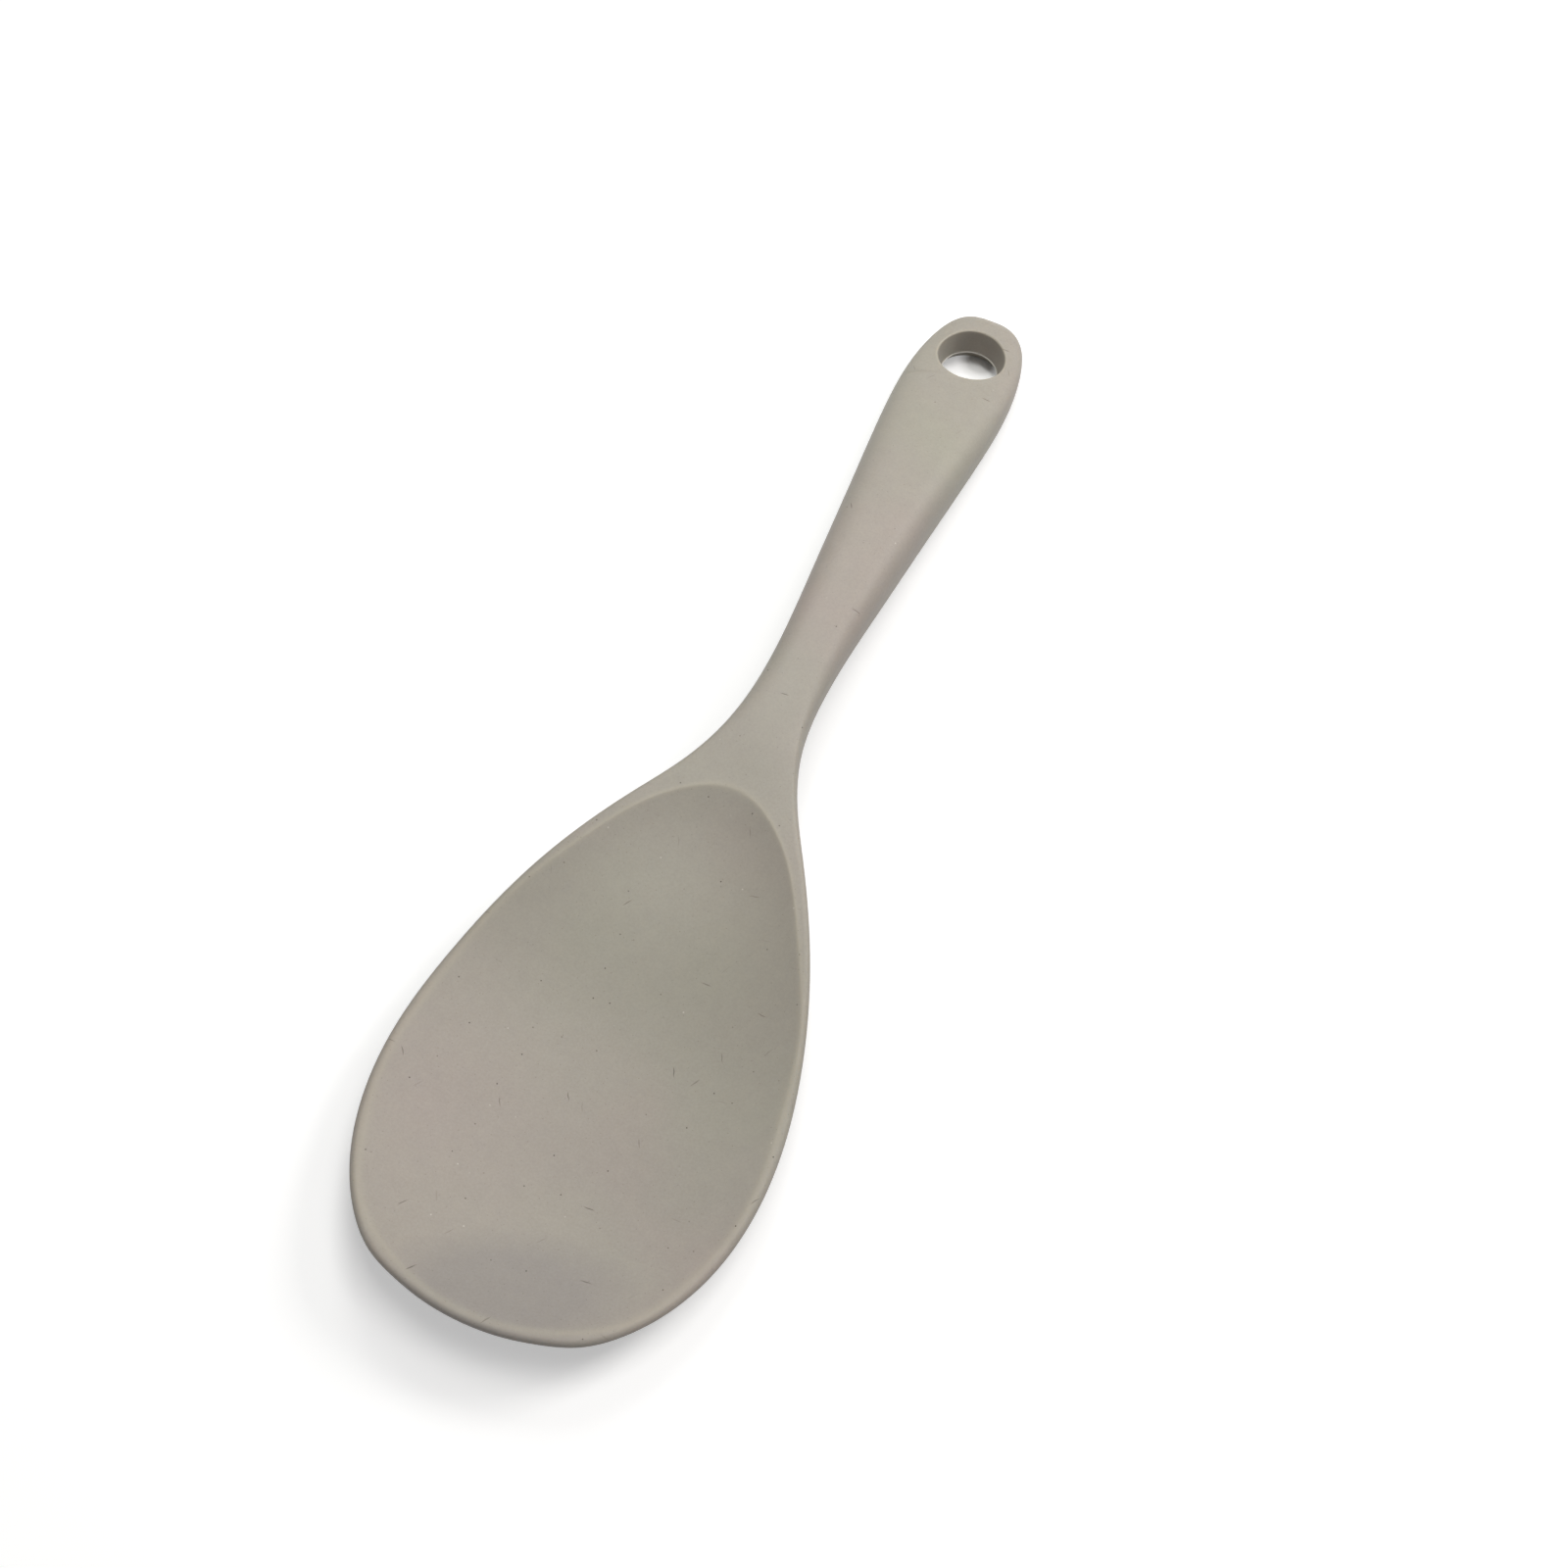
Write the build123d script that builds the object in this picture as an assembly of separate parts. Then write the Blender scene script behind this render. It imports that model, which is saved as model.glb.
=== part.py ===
from build123d import *
import os
from collections import namedtuple
from math import cos, hypot, pi, radians, sin, sqrt

# Rice paddle: a silicone skin moulded over a rigid core, lying on a table with its scoop up.
# X is the width, Y runs from the blade's tip to the handle's end, Z is up from the table.
# All lengths are in millimetres.

# Plan sizes
BLADE_LENGTH = 135.0        # tip of the blade to the waist of the neck
HANDLE_LENGTH = 105.0       # waist of the neck to the end of the handle
BLADE_WIDTH = 72.0          # widest place of the blade
NECK_WIDTH = 12.6           # waist of the neck
GRIP_WIDTH = 23.5           # widest place of the grip
END_RADIUS = 10.3           # rounded end of the handle
TIP_RADIUS = 44.0           # roundness of the blade's tip

# Heights of the outline's middle, before the paddle is stood on its lowest point
TIP_HEIGHT = 10.9
DIP_HEIGHT = 6.6            # lowest place of the blade's edge
SHOULDER_HEIGHT = 13.5
NECK_HEIGHT = 12.3
END_HEIGHT = 3.0

# Thicknesses
RIM_THICKNESS = 2.4         # edge of the blade
BLADE_WALL = 3.0            # blade below the middle of the scoop
SHOULDER_THICKNESS = 6.6    # between the scoop and the neck
NECK_THICKNESS = 9.6
GRIP_THICKNESS = 15.2
RING_THICKNESS = 8.0        # handle at the hanging hole
END_THICKNESS = 6.8         # handle's end, before its edges are rounded
RIM_SLOPE = 0.7             # width of the sloped edges above and below the rim
END_ROUND = 3.5             # upper and lower edges of the handle's end
CORE_EDGE = 1.2             # upright edge between the upper and lower curves of the core's bar

# Scoop
SCOOP_DEPTH = 5.4           # rim to floor at the blade's widest place
RIM_LAND = 1.7              # rim left between the outline and the scoop
SCOOP_FROM_WAIST = 27.4     # waist of the neck to the scoop's upper edge
SCOOP_NECK_RADIUS = 30.0    # roundness across the floor at its upper edge

# Hanging hole
HOLE_RADIUS = 6.3
HOLE_FROM_END = 14.0        # end of the handle to the axis of the hole
HOLE_MOUTH = 0.8            # slope round each of the hole's two mouths

# Core
PLATE_SKIN = 0.9            # silicone above and below the plate in the blade
GRIP_SKIN = 2.2             # silicone round the core in the neck and grip
RING_SKIN = 1.3             # silicone round the core's ring at the hanging hole
SOFT_LIP = 8.5              # border of the blade that is silicone alone
KEY_RADIUS = 2.5            # holes through which the silicone of both sides joins
RIB = 1.6                   # web, walls and ribs of the core's grip
POCKETS = 5                 # pockets along the grip, on each side of the web

# Overrun of the cutting blocks past the part
RUN_OUT = 8.0
FAR = 60.0

# Hand-chosen shares along the blade: its length from the tip, its half width, its rise from the dip
# towards the tip and towards the shoulder, the scoop's depth, the rim's land and the wall
BladeRow = namedtuple("BladeRow", "along half to_tip to_shoulder depth land wall")
BLADE_SHARES = (
    BladeRow(0.074, 0.708, 0.64, 0.00, 0.45, 1.41, 1.00),
    BladeRow(0.148, 0.881, 0.29, 0.00, 0.78, 1.15, 1.00),
    BladeRow(0.219, 0.966, 0.09, 0.00, 0.94, 1.06, 1.00),
    BladeRow(0.304, 1.000, 0.00, 0.01, 1.00, 1.00, 1.00),
    BladeRow(0.444, 0.941, 0.00, 0.08, 0.96, 1.04, 1.00),
    BladeRow(0.593, 0.762, 0.00, 0.60, 0.83, 1.18, 1.05),
    BladeRow(0.741, 0.477, 0.00, 0.98, 0.46, 2.35, 1.40),
)
# Shares from the shoulder to the waist: the blade's length and half width, the rise from neck to
# shoulder, the way from blade to bar, and how much of the thickness lies above the middle
NeckRow = namedtuple("NeckRow", "along half rise bar above")
NECK_SHARES = (
    NeckRow(0.815, 0.321, 1.00, 0.25, 0.28),
    NeckRow(0.889, 0.219, 0.86, 0.60, 0.42),
)
# Shares along the handle from its waist: its length, the grip's half width, thickness, and the rise
# from the end's height to the neck's
GripRow = namedtuple("GripRow", "along half thickness rise")
GRIP_SHARES = (
    GripRow(0.238, 0.646, 0.91, 0.796),
    GripRow(0.429, 0.783, 1.00, 0.622),
    GripRow(0.619, 0.940, 0.93, 0.436),
    GripRow(0.781, 1.000, 0.72, 0.262),
)
# Turns of the places round the blade's tip and the handle's end, in degrees from the length's axis,
# and of the joint between the core's side and its rounded end, from the width's axis
TIP_TURNS = (5, 10, 18, 26)
END_TURNS = (75, 55, 36, 18, 8)
CORE_END_TURN = 15
# Shares of the rows of key holes: the blade's length from the tip, its half width, and the holes
# across that half width on each side of the middle
KeyRow = namedtuple("KeyRow", "along half across")
KEY_SHARES = (
    KeyRow(0.22, 0.36, (-1, 1)),
    KeyRow(0.36, 0.40, (-1, 0, 1)),
    KeyRow(0.53, 0.22, (-1, 1)),
)
HOLE_RISE_SHARE = 0.13
HOLE_HALF_SHARE = 1.07
PARABOLA_SHARE = 1 / 3
BAR_FULL_SHARE = 0.82       # fullness of the curves across the bar
CORE_FULL_SHARE = 0.6       # fullness of the curves across the core's bar
POLE_SHARE = 3 / 4
BAR_EDGE_SHARE = 0.12       # upright strip at the bar's side, of its height
RIM_WALL_SHARE = 0.45       # upright strip between the rim's sloped edges, of its thickness
RIM_SLOPE_SHARE = 0.3       # most of a slice's half width that a sloped edge takes
BLADE_SPAN_SHARE = 1.08
BAR_SPAN_SHARE = 1.03
TIP_SWING_SHARE = 1.3
END_SWING_SHARE = 0.5

Station = namedtuple("Station", "y half middle up down bar lip skin")
TIP_Y = -(BLADE_LENGTH + HANDLE_LENGTH) / 2
WAIST_Y = TIP_Y + BLADE_LENGTH
END_Y = WAIST_Y + HANDLE_LENGTH
HOLE_Y = END_Y - HOLE_FROM_END


def mix(start, end, share):
    """Value at a share of the way from start to end."""
    return start + (end - start) * share


def blade_stations():
    """Places of the blade from its tip to the shoulder."""
    stations = []
    for row in BLADE_SHARES:
        middle = DIP_HEIGHT + row.to_tip * (TIP_HEIGHT - DIP_HEIGHT)
        middle += row.to_shoulder * (SHOULDER_HEIGHT - DIP_HEIGHT)
        down = row.depth * SCOOP_DEPTH + row.wall * BLADE_WALL - RIM_THICKNESS / 2
        stations.append(Station(TIP_Y + row.along * BLADE_LENGTH, row.half * BLADE_WIDTH / 2, middle,
                                RIM_THICKNESS / 2, down, 0, SOFT_LIP, PLATE_SKIN))
    return stations


def neck_stations():
    """Places where the blade turns into the bar of the handle, up to the waist."""
    stations = []
    for row in NECK_SHARES:
        thick = mix(SHOULDER_THICKNESS, NECK_THICKNESS, row.bar)
        stations.append(Station(TIP_Y + row.along * BLADE_LENGTH, row.half * BLADE_WIDTH / 2,
                                mix(NECK_HEIGHT, SHOULDER_HEIGHT, row.rise),
                                row.above * thick, (1 - row.above) * thick, row.bar,
                                mix(SOFT_LIP, GRIP_SKIN, row.bar), mix(PLATE_SKIN, GRIP_SKIN, row.bar)))
    stations.append(Station(WAIST_Y, NECK_WIDTH / 2, NECK_HEIGHT, NECK_THICKNESS / 2,
                            NECK_THICKNESS / 2, 1, GRIP_SKIN, GRIP_SKIN))
    return stations


def grip_stations():
    """Places of the grip."""
    return [Station(WAIST_Y + row.along * HANDLE_LENGTH, row.half * GRIP_WIDTH / 2,
                    mix(END_HEIGHT, NECK_HEIGHT, row.rise), row.thickness * GRIP_THICKNESS / 2,
                    row.thickness * GRIP_THICKNESS / 2, 1, GRIP_SKIN, GRIP_SKIN)
            for row in GRIP_SHARES]


def end_stations():
    """Places of the flatter end, from the hole's axis to just inside the end."""
    half = RING_THICKNESS / 2
    stations = [Station(HOLE_Y, HOLE_HALF_SHARE * END_RADIUS, end_middle(HOLE_Y), half, half, 1,
                        RING_SKIN, RING_SKIN)]
    for turn in END_TURNS:
        depth = END_RADIUS * (1 - cos(radians(turn)))
        thick = mix(END_THICKNESS, RING_THICKNESS, depth / HOLE_FROM_END) / 2
        thick *= rounded_share(depth, END_ROUND)
        stations.append(Station(END_Y - depth, END_RADIUS * sin(radians(turn)), end_middle(END_Y - depth),
                                thick, thick, 1, RING_SKIN, RING_SKIN))
    return stations


def end_middle(y):
    """Height of the middle between the hole's axis and the end of the handle."""
    return mix(END_HEIGHT, NECK_HEIGHT, HOLE_RISE_SHARE * (END_Y - y) / HOLE_FROM_END)


def rounded_share(depth, radius):
    """Share of the full thickness at a depth inside an edge that is rounded to radius."""
    return sqrt(1 - max(0, 1 - depth / radius) ** 2)


def tip_stations(first):
    """Places round the blade's tip, up to its first place."""
    half = RIM_THICKNESS / 2
    stations = []
    for turn in TIP_TURNS:
        depth = TIP_RADIUS * (1 - cos(radians(turn)))
        way = depth / (first.y - TIP_Y)
        fill = rounded_share(depth, half)
        stations.append(Station(TIP_Y + depth, TIP_RADIUS * sin(radians(turn)),
                                mix(TIP_HEIGHT, first.middle, way), half * fill,
                                mix(half, first.down, way) * fill, max(0, 1 - depth / half),
                                SOFT_LIP, PLATE_SKIN))
    return stations


def core_places(wall):
    """Points on the right of the core's outline, a lip and a wall inside the paddle's own."""
    stations = blade_stations() + neck_stations() + grip_stations()
    points = [(0, TIP_Y)] + [(s.half, s.y) for s in stations] + [(END_RADIUS, END_Y - END_RADIUS)]
    places = []
    for before, here, after, station in zip(points, points[1:], points[2:], stations):
        along = (after[0] - before[0], after[1] - before[1])
        move = (station.lip + wall) / hypot(*along)
        places.append((here[0] - along[1] * move, here[1] + along[0] * move))
    return places


def core_outline(wall):
    """Plan of the core, or of what lies a wall inside it."""
    turn = radians(CORE_END_TURN)
    radius = END_RADIUS - RING_SKIN - wall
    centre_y = END_Y - END_RADIUS
    joint = (radius * cos(turn), centre_y + radius * sin(turn))
    side = [(0, TIP_Y + SOFT_LIP + wall)] + core_places(wall) + [joint]
    right = Spline(*side, tangents=[(1, 0), (-sin(turn), cos(turn))],
                   tangent_scalars=[TIP_SWING_SHARE, END_SWING_SHARE])
    end = ThreePointArc(joint, (0, centre_y + radius), (-joint[0], joint[1]))
    return make_face([right.edge(), end.edge(), mirror(right, Plane.YZ).edge()])


def crowned(y, span, edge, crown, full):
    """Curve across the paddle, two spans wide, from edge up or down to crown and back."""
    pole = mix(edge, crown, 1 / POLE_SHARE)
    return Bezier((-span, y, edge), (-span * full, y, pole), (span * full, y, pole), (span, y, edge))


def outer_slice(station):
    """Upright slice through the whole paddle, with sloped edges at the rim and none on the bar."""
    full = mix(PARABOLA_SHARE, BAR_FULL_SHARE, station.bar)
    slope = mix(min(RIM_SLOPE, station.half * RIM_SLOPE_SHARE), 0, station.bar)
    high = mix(station.up, BAR_EDGE_SHARE * station.up, station.bar)
    low = mix(min(station.down, RIM_THICKNESS / 2), BAR_EDGE_SHARE * station.down, station.bar)
    span = station.half - slope
    top = crowned(station.y, span, station.middle + high, station.middle + station.up, full)
    bottom = crowned(station.y, span, station.middle - low, station.middle - station.down, full)
    side = Polyline(top @ 1, (station.half, station.y, station.middle + high * RIM_WALL_SHARE),
                    (station.half, station.y, station.middle - low * RIM_WALL_SHARE), bottom @ 1)
    return Face(Wire([top.edge(), *side.edges(), bottom.edge(), *mirror(side, Plane.YZ).edges()]))


def core_slice(station):
    """Upright slice through the core, wider than its plan."""
    spread = mix(BLADE_SPAN_SHARE, BAR_SPAN_SHARE, station.bar)
    span = (station.half - station.lip) * spread
    full = mix(PARABOLA_SHARE, CORE_FULL_SHARE, station.bar)
    upper_edge = mix(RIM_THICKNESS / 2 - station.skin, CORE_EDGE / 2, station.bar)
    upper = max(station.up - station.skin, upper_edge)
    lower = max(station.down - station.skin, CORE_EDGE / 2)
    belly_edge = lower - (lower + station.skin - RIM_THICKNESS / 2) * (span / station.half) ** 2
    lower_edge = mix(belly_edge, CORE_EDGE / 2, station.bar)
    top = crowned(station.y, span, station.middle + upper_edge, station.middle + upper, full)
    bottom = crowned(station.y, span, station.middle - lower_edge, station.middle - lower, full)
    sides = [Line(bottom @ end, top @ end) for end in (0, 1)]
    return Face(Wire([top.edge(), bottom.edge(), sides[0].edge(), sides[1].edge()]))


def height_at(y, stations, heights):
    """Height at y, between the heights of the nearest two stations."""
    for near, far, low, high in zip(stations, stations[1:], heights, heights[1:]):
        if y <= far.y:
            return mix(low, high, (y - near.y) / (far.y - near.y))
    return heights[-1]


def top_at(y):
    """Height of the upper surface's centre line between the shoulder and the waist."""
    stations = blade_stations() + neck_stations()
    return height_at(y, stations, [s.middle + s.up for s in stations])


def scoop_slice(y, top, depth, bend):
    """Slice above the scoop's floor, whose height grows by bend times the square of x."""
    span = BLADE_WIDTH * BLADE_SPAN_SHARE / 2
    floor = top - depth
    edge = floor + bend * span ** 2
    curve = crowned(y, span, edge, floor, PARABOLA_SHARE)
    lid = Polyline((span, y, edge), (span, y, FAR + FAR), (-span, y, FAR + FAR), (-span, y, edge))
    return Face(Wire([curve.edge(), *lid.edges()]))


def scoop_block():
    """All that is taken out above the scoop's floor."""
    blade = blade_stations()
    depths = [row.depth * SCOOP_DEPTH for row in BLADE_SHARES]
    bends = [depth / (s.half - row.land * RIM_LAND) ** 2
             for row, s, depth in zip(BLADE_SHARES, blade, depths)]
    near_y = TIP_Y + RIM_LAND
    near_slope = (blade[0].middle - TIP_HEIGHT) / (blade[0].y - TIP_Y)
    near_top = TIP_HEIGHT + near_slope * RIM_LAND + RIM_THICKNESS / 2
    near_run = depths[0] * RUN_OUT / (blade[0].y - near_y)
    far_y = WAIST_Y - SCOOP_FROM_WAIST
    far_run = depths[-1] * RUN_OUT / (far_y - blade[-1].y)
    neck_bend = 1 / (SCOOP_NECK_RADIUS + SCOOP_NECK_RADIUS)
    slices = [scoop_slice(near_y - RUN_OUT, near_top - near_slope * RUN_OUT, -near_run, bends[0]),
              scoop_slice(near_y, near_top, 0, bends[0])]
    slices += [scoop_slice(s.y, s.middle + s.up, depth, bend)
               for s, depth, bend in zip(blade, depths, bends)]
    slices += [scoop_slice(far_y, top_at(far_y), 0, neck_bend),
               scoop_slice(far_y + RUN_OUT, top_at(far_y + RUN_OUT), -far_run, neck_bend)]
    return loft(slices)


def mouth_edges(form):
    """The two mouths of the hanging hole."""
    reach = HOLE_RADIUS + HOLE_MOUTH
    return [e for e in form.edges() if HOLE_Y - reach < e.bounding_box().min.Y
            and e.bounding_box().max.Y < HOLE_Y + reach and e.length > HOLE_RADIUS * pi]


def outer_form():
    """The whole paddle as one solid, with its scoop and hanging hole."""
    blade = blade_stations()
    stations = tip_stations(blade[0]) + blade + neck_stations() + grip_stations() + end_stations()
    body = loft([outer_slice(station) for station in stations])
    body = body - scoop_block() - Pos(0, HOLE_Y, 0) * Cylinder(HOLE_RADIUS, FAR + FAR)
    return chamfer(mouth_edges(body), HOLE_MOUTH)


def key_pegs():
    """Round bars that cut the key holes through the core's plate."""
    pegs = []
    for row in KEY_SHARES:
        y = TIP_Y + row.along * BLADE_LENGTH
        half = row.half * BLADE_WIDTH / 2
        pegs += [Pos(place * half, y, 0) * Cylinder(KEY_RADIUS, FAR + FAR) for place in row.across]
    return pegs


def pocket_blocks():
    """Blocks that cut the pockets into the core's grip, from above and from below the web."""
    stations = grip_stations()
    middles = [s.middle for s in stations]
    near_y = mix(WAIST_Y, stations[0].y, 1 / 2)
    far_y = HOLE_Y - HOLE_RADIUS - RING_SKIN - RIB
    pitch = (far_y - near_y) / POCKETS
    inside = extrude(core_outline(RIB), FAR, both=True)
    blocks = []
    for place in range(POCKETS):
        y = near_y + (place + 1 / 2) * pitch
        web = height_at(y, stations, middles)
        block = Box(GRIP_WIDTH, pitch - RIB, FAR, align=(Align.CENTER, Align.CENTER, Align.MIN))
        blocks.append(inside & Pos(0, y, web + RIB / 2) * block)
        blocks.append(inside & Pos(0, y, web - RIB / 2 - FAR) * block)
    return blocks


def core_block():
    """The core's upper and lower surfaces, before it is cut to its plan."""
    blade = blade_stations()
    end = end_stations()
    tip = blade[0]._replace(y=TIP_Y, middle=TIP_HEIGHT, down=RIM_THICKNESS / 2)
    past = end[2]._replace(y=END_Y, middle=END_HEIGHT, up=0, down=0)
    stations = [tip] + blade + neck_stations() + grip_stations() + end[:3] + [past]
    return loft([core_slice(station) for station in stations])


def core_form():
    """The rigid insert: plate with key holes, neck, ribbed grip and ring round the hole."""
    body = extrude(core_outline(0), FAR, both=True) & core_block()
    body = body - Pos(0, 0, -PLATE_SKIN) * scoop_block()
    body = body - Pos(0, HOLE_Y, 0) * Cylinder(HOLE_RADIUS + RING_SKIN, FAR + FAR)
    return body - key_pegs() - pocket_blocks()


def main():
    """Build the core and the skin round it, and stand both on the table."""
    core = core_form()
    form = outer_form()
    skin = form - core
    down = Pos(0, 0, -form.bounding_box().min.Z)
    os.makedirs("parts", exist_ok=True)
    export_step(down * skin, "parts/silicone_skin.step")
    export_step(down * core, "parts/stiffening_core.step")


main()
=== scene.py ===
"""Rice paddle in matte silicone rubber, lying on a plain white table with its scoop up."""
import logging
import math
from dataclasses import dataclass
from enum import Enum
from typing import Any, Optional

import bmesh
import bpy
import numpy as np
from mathutils import Matrix, Vector


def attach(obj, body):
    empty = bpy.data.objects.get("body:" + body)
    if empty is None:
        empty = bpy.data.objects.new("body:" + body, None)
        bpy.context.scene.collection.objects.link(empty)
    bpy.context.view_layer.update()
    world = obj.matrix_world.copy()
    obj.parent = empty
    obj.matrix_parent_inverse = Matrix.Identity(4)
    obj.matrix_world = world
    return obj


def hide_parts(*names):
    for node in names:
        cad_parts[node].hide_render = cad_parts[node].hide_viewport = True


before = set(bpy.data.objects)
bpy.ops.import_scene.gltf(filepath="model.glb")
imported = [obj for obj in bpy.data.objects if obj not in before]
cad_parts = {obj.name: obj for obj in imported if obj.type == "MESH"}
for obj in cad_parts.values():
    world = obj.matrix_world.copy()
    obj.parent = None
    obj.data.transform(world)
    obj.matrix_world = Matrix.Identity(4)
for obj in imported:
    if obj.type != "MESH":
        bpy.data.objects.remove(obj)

Floats = np.ndarray
Pair = tuple[float, float]
Triple = tuple[float, float, float]
Colour = tuple[float, float, float, float]
Stops = list[tuple[float, Colour]]
Tree = bpy.types.NodeTree
Socket = bpy.types.NodeSocket
MILLIMETRE = 0.001
# A length too short to matter, in metres or millimetres
TINY = 1e-6
# The sRGB standard's curve: where it starts to bend, its straight slope, offset and power
SRGB_BEND = 0.04045
SRGB_SLOPE = 12.92
SRGB_OFFSET = 0.055
SRGB_POWER = 2.4
PICTURE_SIDE = 1600
EDGE_PAINTED_HIGHLIGHT = "edge_wear"
log = logging.getLogger("rice_paddle")


class Face(Enum):
    """The two faces of the paddle as it lies on the table."""

    UPPER = "upper"
    LOWER = "lower"


def linear_colour(hex_text: str) -> Colour:
    """Turn an sRGB hex colour into the linear colour that a shader takes.

    Args:
        hex_text: Six hex digits after a hash sign.

    Returns:
        Linear red, green and blue, and an alpha of one.
    """
    parts = [int(hex_text[start:start + 2], 16) / 255 for start in (1, 3, 5)]
    red, green, blue = (part / SRGB_SLOPE if part <= SRGB_BEND
                        else ((part + SRGB_OFFSET) / (1 + SRGB_OFFSET)) ** SRGB_POWER
                        for part in parts)
    return red, green, blue, 1.0


def per_metre(millimetres: float) -> float:
    """Scale of a pattern whose features are this far apart."""
    return 1 / (millimetres * MILLIMETRE)


def grey(level: float) -> Colour:
    """Linear grey."""
    return level, level, level, 1.0


def number_ramp(start: float, end: float, low: float = 0.0, high: float = 1.0) -> Stops:
    """Stops of a ramp that carries a number, low at start and high at end."""
    return [(start, grey(low)), (end, grey(high))]


def add_node(tree: Tree, kind: str, settings: Optional[dict[str, Any]] = None,
             **inputs: Any) -> bpy.types.Node:
    """Add a node with its settings, values and links.

    Args:
        tree: Node tree of the material or world.
        kind: Blender's name of the node.
        settings: Properties of the node itself. "stops" fills a colour ramp.
        inputs: Value or output socket for each input, named in lower case with underscores. Two
            underscores and a number after the name, as in value__1, pick among inputs of one name.

    Returns:
        The new node.
    """
    node = tree.nodes.new(kind)
    settings = dict(settings or {})
    stops = settings.pop("stops", ())
    for name, value in settings.items():
        setattr(node, name, value)
    if stops:
        elements = node.color_ramp.elements
        while len(elements) < len(stops):
            elements.new(1.0)
        for element, (place, colour) in zip(elements, stops):
            element.position = place
            element.color = colour
    for name, value in inputs.items():
        label, _, place = name.partition("__")
        matches = [socket for socket in node.inputs
                   if socket.name.lower().replace(" ", "_") == label and socket.enabled]
        socket = matches[int(place or 0)]
        if isinstance(value, Socket):
            tree.links.new(value, socket)
        else:
            socket.default_value = value
    return node


def nearness(tree: Tree, place: Socket, middle_mm: Triple, reach_mm: Triple, stops: Stops,
             turn: float = 0.0) -> Socket:
    """Grade a surface round a place on it.

    Args:
        tree: Node tree of the material.
        place: Object coordinates.
        middle_mm: The place.
        reach_mm: Distances along each axis at which the grading ends.
        stops: Stops of the grading, from zero at its end to one at the place.
        turn: Angle by which the axes are turned about the vertical.

    Returns:
        Colour output.
    """
    spot = add_node(tree, "ShaderNodeMapping", {"vector_type": "TEXTURE"}, vector=place,
                    location=[part * MILLIMETRE for part in middle_mm],
                    scale=[part * MILLIMETRE for part in reach_mm], rotation=(0.0, 0.0, turn))
    spread = add_node(tree, "ShaderNodeTexGradient", {"gradient_type": "SPHERICAL"},
                      vector=spot.outputs["Vector"])
    graded = add_node(tree, "ShaderNodeValToRGB", {"stops": stops}, fac=spread.outputs["Fac"])
    return graded.outputs["Color"]


def seen_rays(tree: Tree) -> Socket:
    """Tell the rays that the lens, a reflection or a clear material sees from the rest.

    Args:
        tree: Node tree of the material or world.

    Returns:
        Value output, one for rays that are seen and zero for the rest.
    """
    rays = add_node(tree, "ShaderNodeLightPath")
    first = add_node(tree, "ShaderNodeMath", {"operation": "MAXIMUM"},
                     value=rays.outputs["Is Camera Ray"], value__1=rays.outputs["Is Glossy Ray"])
    both = add_node(tree, "ShaderNodeMath", {"operation": "MAXIMUM"},
                    value=first.outputs["Value"], value__1=rays.outputs["Is Transmission Ray"])
    return both.outputs["Value"]


def start_material(name: str) -> tuple[bpy.types.Material, Tree, Socket]:
    """Start a material.

    Args:
        name: What the real material is, and how its surface was made.

    Returns:
        The new material, its node tree, and object coordinates in it.
    """
    material = bpy.data.materials.new(name)
    material.use_nodes = True
    tree = material.node_tree
    tree.nodes.clear()
    return material, tree, add_node(tree, "ShaderNodeTexCoord").outputs["Object"]


@dataclass(frozen=True)
class SoftSpot:
    """A place where the colour takes another shade, full from a share of the way in."""

    middle_mm: Triple
    reach_mm: Triple
    shade: str
    turn: float = 0.0
    full: float = 1.0


@dataclass(frozen=True)
class Dust:
    """One kind of dust: how far apart and how wide it is, and a fibre's stretch and turn."""

    pitch_mm: float
    radius_mm: float
    strength: float
    shade: str
    stretch: float = 1.0
    turn: float = 0.0


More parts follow.
